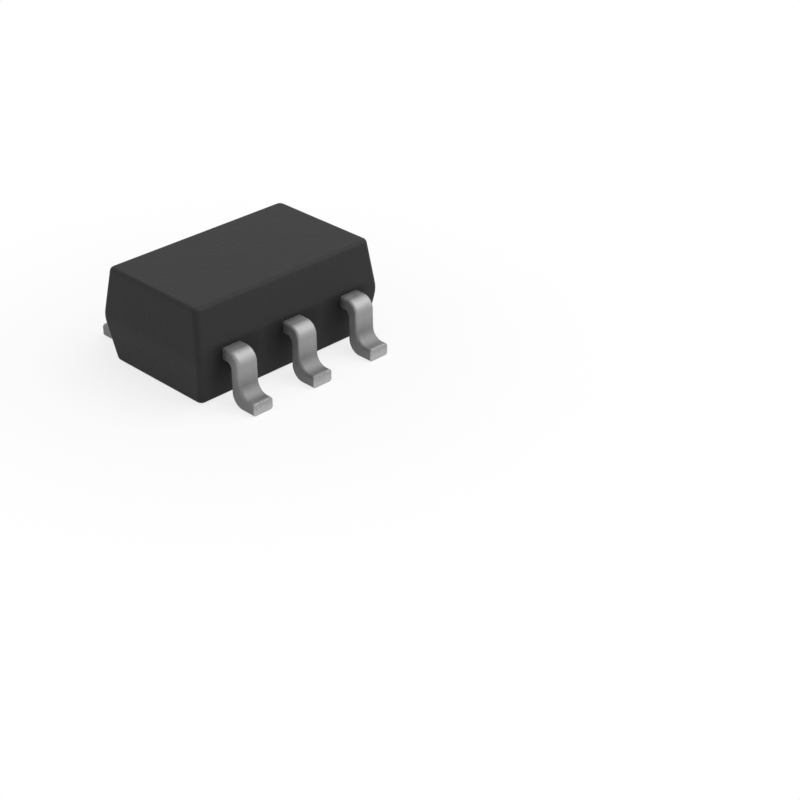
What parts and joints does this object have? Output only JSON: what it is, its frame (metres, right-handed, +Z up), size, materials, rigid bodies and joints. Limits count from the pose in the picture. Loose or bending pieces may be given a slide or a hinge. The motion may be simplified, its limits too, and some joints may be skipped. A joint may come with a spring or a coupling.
{
  "type": "microcontroller chip",
  "caption": "Surface-mount microcontroller in a small moulded epoxy body with gull-wing leads along both long sides.",
  "frame": {"origin": "centre of the plane that the feet stand on, below the middle of the body", "axes": "+Z up out of the circuit board, X along the body's long sides, and -Y towards the side with leads 1 to 3, lead 1 at its -X end"},
  "size_m": [0.003, 0.0028, 0.0013],
  "materials": {
    "epoxy": "fine matt, as moulded",
    "tinned_copper": "matt tin plating over copper alloy",
    "adhesive": "silver-filled epoxy",
    "silicon": "polished wafer",
    "gold": "drawn wire"
  },
  "bodies": {
    "root": {"moulded_body": "epoxy", "lead_1": "tinned_copper", "lead_2": "tinned_copper", "lead_3": "tinned_copper", "lead_4": "tinned_copper", "lead_5": "tinned_copper", "lead_6": "tinned_copper", "die_attach": "adhesive", "silicon_die": "silicon", "bond_wire_1": "gold", "bond_wire_2": "gold", "bond_wire_3": "gold", "bond_wire_4": "gold", "bond_wire_5": "gold", "bond_wire_6": "gold"}
  },
  "joints": []
}
